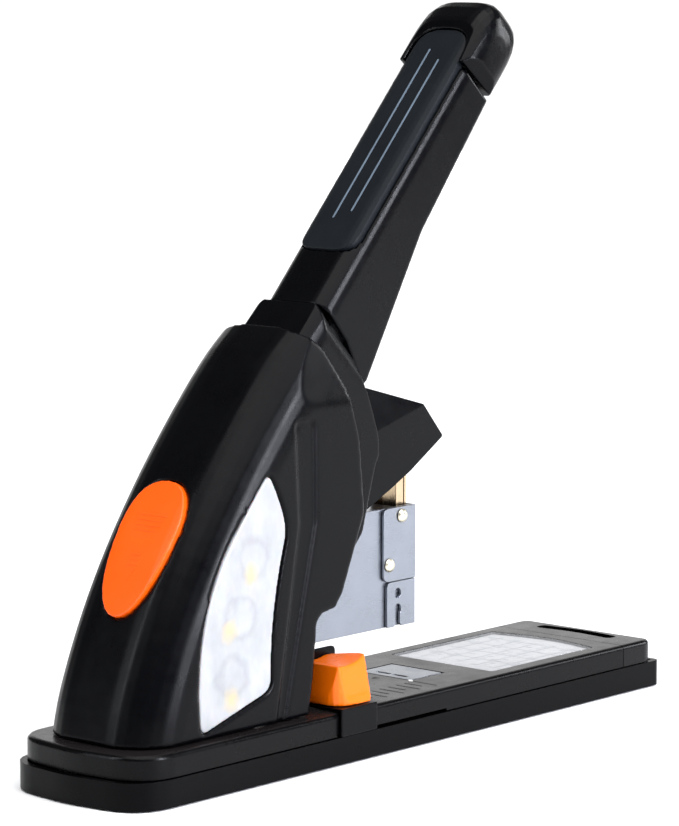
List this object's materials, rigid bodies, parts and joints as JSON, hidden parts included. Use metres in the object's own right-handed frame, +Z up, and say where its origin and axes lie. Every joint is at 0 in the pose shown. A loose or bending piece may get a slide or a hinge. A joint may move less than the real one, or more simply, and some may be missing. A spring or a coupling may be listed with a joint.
{
  "type": "heavy-duty desktop stapler",
  "caption": "Heavy-duty long-lever desktop stapler with a sliding paper guide, a pull-forward staple magazine, a release button and a cushioned handle.",
  "frame": {"origin": "centre of the footprint on the table, under the base mat", "axes": "+X towards the stapling end of the base, +Y to the left side seen by someone behind the release button, +Z up"},
  "size_m": [0.2896, 0.065, 0.2612],
  "materials": {
    "rubber": "matt black anti-slip rubber",
    "base_black": "satin black moulded plastic, fine grain",
    "deck_plastic": "grey-brown satin plastic, fine grain",
    "housing_black": "satin black moulded plastic, soft highlights",
    "handle_black": "satin black moulded plastic",
    "gloss_orange": "glossy orange plastic",
    "soft_pad": "dark slate-blue soft-touch pad with two thin light lines",
    "zinc_steel": "zinc plated pressed steel",
    "dark_steel": "dark phosphated pressed steel",
    "spring_steel": "bright drawn and turned steel",
    "copper_steel": "copper coloured hardened strip",
    "brass_rivet": "polished brass",
    "chart_card": null,
    "clear_window": "clear glossy window",
    "frosted_lens": "frosted white translucent lens",
    "white_strip": "matt white strip with three pale yellow spots"
  },
  "bodies": {
    "root": {"base_mat": "rubber", "lower_base": "base_black", "base_frame": "dark_steel", "upper_base": "deck_plastic", "front_cap": "base_black", "label_card": "chart_card", "label_window": "clear_window", "anvil_plate": "zinc_steel", "anvil_block": "dark_steel", "base_screw_1": "spring_steel", "base_screw_2": "spring_steel", "base_screw_3": "spring_steel", "base_screw_4": "spring_steel", "frame_plate_left": "dark_steel", "frame_plate_right": "dark_steel", "lever_pivot_pin": "spring_steel", "arm_pivot_pin": "spring_steel", "lever_return_spring": "spring_steel", "head_lift_spring": "spring_steel", "rear_housing": "housing_black", "side_window_left": "frosted_lens", "side_window_right": "frosted_lens", "backing_strip_left": "white_strip", "backing_strip_right": "white_strip"},
    "lever": {"lever_channel": "dark_steel", "lever_roller": "spring_steel", "lever_collar": "handle_black", "handle_shell": "handle_black", "grip_pad": "soft_pad", "handle_bottom_cover": "handle_black", "handle_end_cap": "handle_black"},
    "driver_arm": {"driver_arm": "dark_steel", "hammer_bar": "zinc_steel", "nose_cover": "housing_black"},
    "head": {"head_sleeve": "zinc_steel", "driver_guide": "zinc_steel", "guide_rivet_left_1": "brass_rivet", "guide_rivet_left_2": "brass_rivet", "guide_rivet_right_1": "brass_rivet", "guide_rivet_right_2": "brass_rivet", "guide_stud_left_1": "spring_steel", "guide_stud_left_2": "spring_steel", "guide_stud_right_1": "spring_steel", "guide_stud_right_2": "spring_steel", "driver_return_spring": "spring_steel", "latch_bracket": "dark_steel"},
    "driver": {"driver_blade": "copper_steel", "driver_stiffener": "copper_steel"},
    "magazine": {"magazine_tray": "zinc_steel", "magazine_nose": "zinc_steel", "staple_strip": "zinc_steel", "pusher_rod": "spring_steel", "pusher_spring": "spring_steel"},
    "pusher": {"staple_pusher": "gloss_orange"},
    "latch": {"release_latch": "spring_steel"},
    "button": {"release_button": "gloss_orange"},
    "guide": {"guide_carriage": "housing_black", "guide_clamp_left": "gloss_orange", "guide_clamp_right": "gloss_orange"}
  },
  "joints": [
    {"name": "lever_swing", "type": "hinge", "parent": "root", "child": "lever", "pos_m": [-0.04, 0, 0.112], "axis": [0, 1, 0], "range_deg": [0, 40], "stiffness_Nm_per_rad": 1.5, "springref_deg": -22.92},
    {"name": "driver_arm_swing", "type": "hinge", "parent": "root", "child": "driver_arm", "pos_m": [-0.104, 0, 0.056], "axis": [0, 1, 0], "range_deg": [0, 14]},
    {"name": "head_travel", "type": "slide", "parent": "root", "child": "head", "axis": [0, 0, -1], "range_m": [0, 0.0192], "deforming": ["head_lift_spring"]},
    {"name": "driver_travel", "type": "slide", "parent": "head", "child": "driver", "axis": [0, 0, -1], "range_m": [0, 0.0115], "deforming": ["driver_return_spring"]},
    {"name": "magazine_slide", "type": "slide", "parent": "head", "child": "magazine", "axis": [1, 0, 0], "range_m": [0, 0.09]},
    {"name": "pusher_slide", "type": "slide", "parent": "magazine", "child": "pusher", "axis": [-1, 0, 0], "range_m": [0, 0.018], "stiffness_N_per_m": 60, "springref_m": -0.02, "deforming": ["pusher_spring"]},
    {"name": "release_press", "type": "slide", "parent": "root", "child": "button", "axis": [0.9239, 0, -0.3827], "range_m": [0, 0.003], "stiffness_N_per_m": 400, "springref_m": -0.003},
    {"name": "latch_swing", "type": "hinge", "parent": "head", "child": "latch", "pos_m": [-0.086, 0, 0.0684], "axis": [0, 1, 0], "range_deg": [0, 10]},
    {"name": "guide_slide", "type": "slide", "parent": "root", "child": "guide", "axis": [1, 0, 0], "range_m": [0, 0.038]}
  ],
  "couplings": [
    {"joint": "driver_arm_swing", "follows": "lever_swing", "ratio": 0.35},
    {"joint": "head_travel", "follows": "lever_swing", "m_per_rad": 0.027502},
    {"joint": "driver_travel", "follows": "lever_swing", "m_per_rad": 0.016472},
    {"joint": "latch_swing", "follows": "release_press", "rad_per_m": 58.17}
  ]
}
